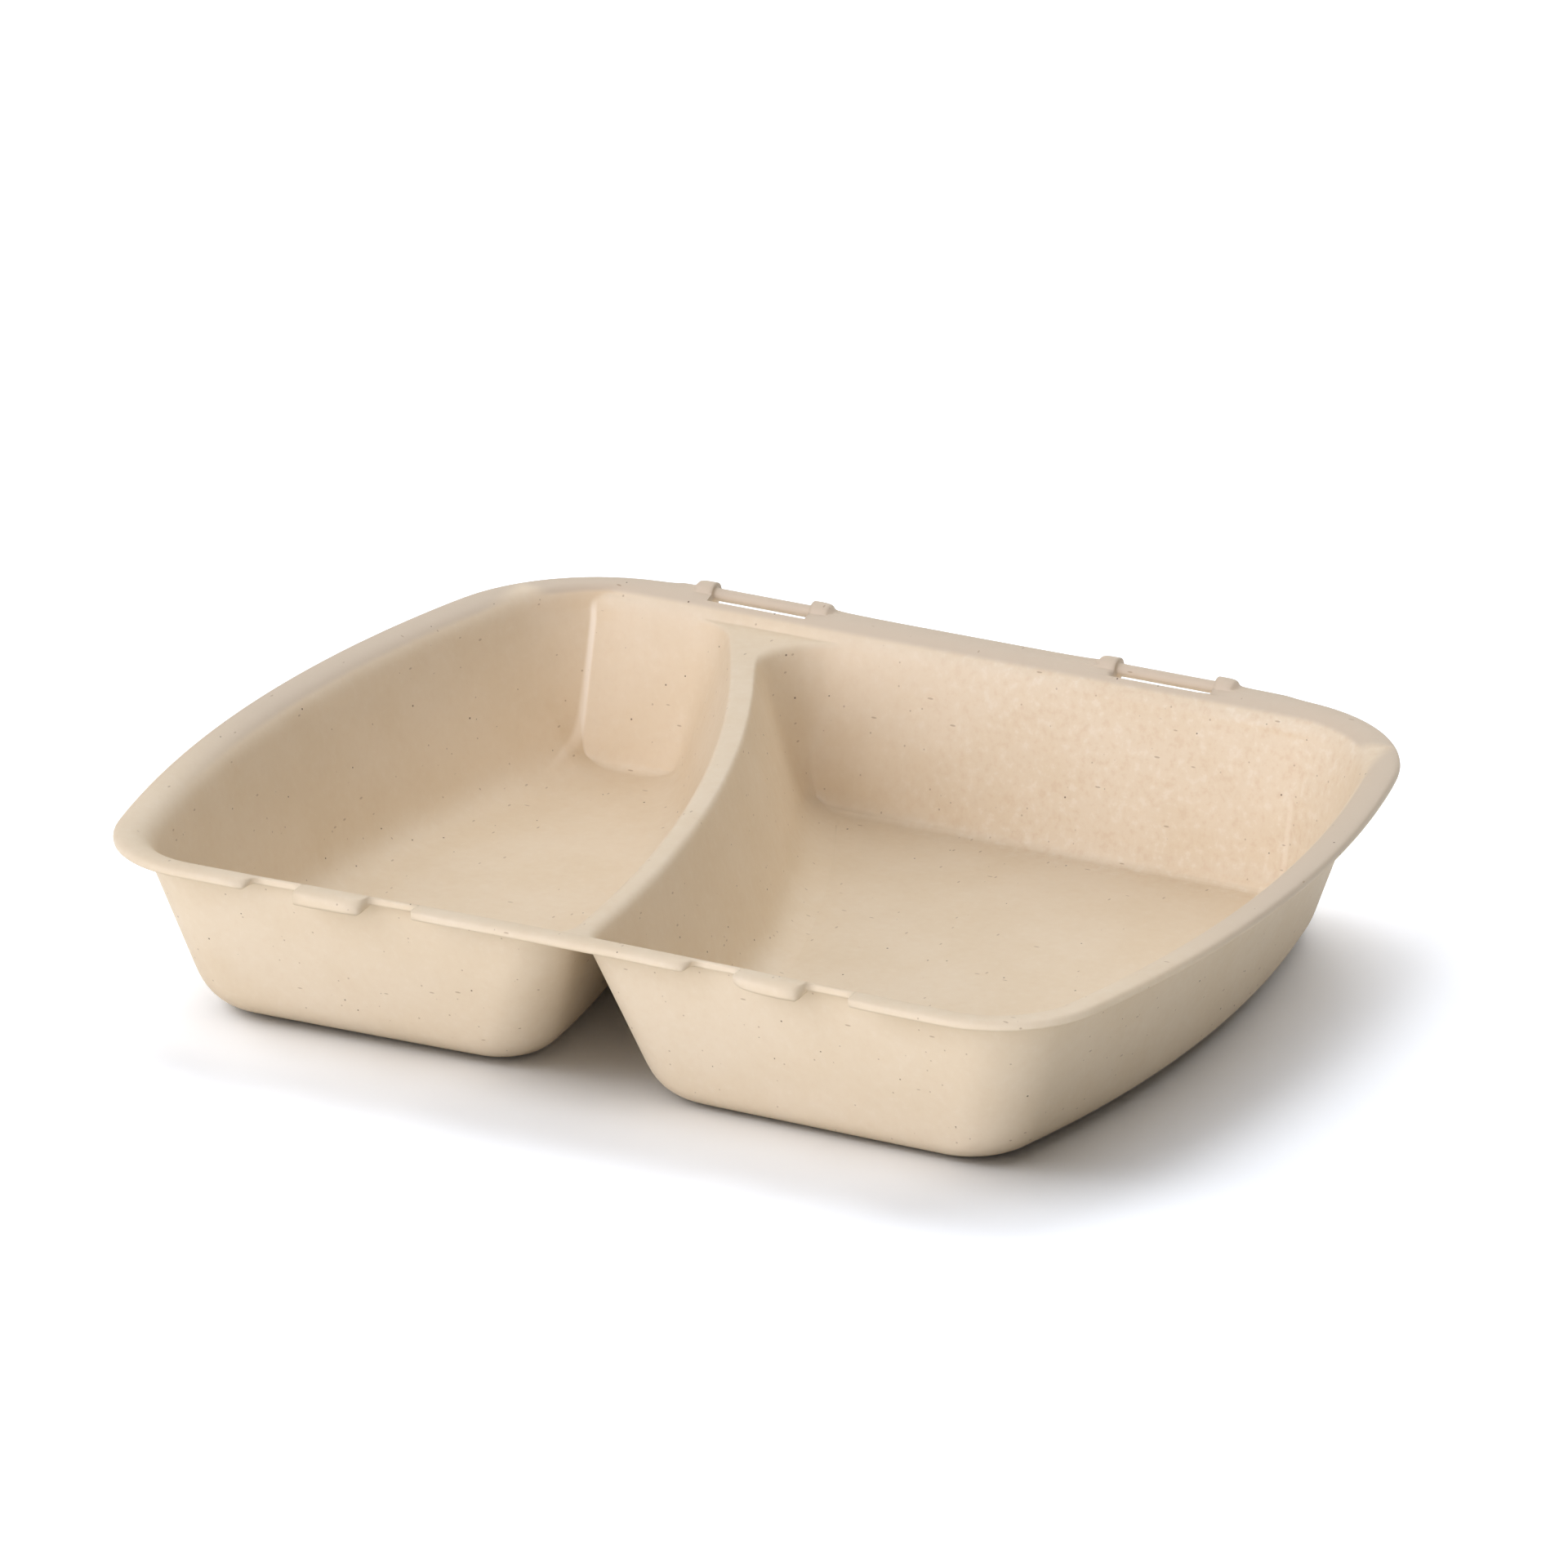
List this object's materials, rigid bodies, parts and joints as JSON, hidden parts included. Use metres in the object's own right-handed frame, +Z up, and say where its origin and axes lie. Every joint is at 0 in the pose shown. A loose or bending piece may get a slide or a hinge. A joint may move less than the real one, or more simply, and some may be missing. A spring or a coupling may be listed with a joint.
{
  "type": "divided meal container",
  "caption": "Shallow rigid meal container base with bowed sides, a curved divider between its compartments, a rolled rim, front lid catches and rear hinge rods.",
  "frame": {"origin": "under the middle of the tray, on the surface it stands on", "axes": "+X along the tray's width, to the right as seen from the front; -Y towards the rim with the catches; +Z up"},
  "size_m": [0.23, 0.1859, 0.0392],
  "materials": {
    "tray": "satin, warm beige with fine dark specks"
  },
  "bodies": {
    "root": {"tray": "tray"}
  },
  "joints": []
}
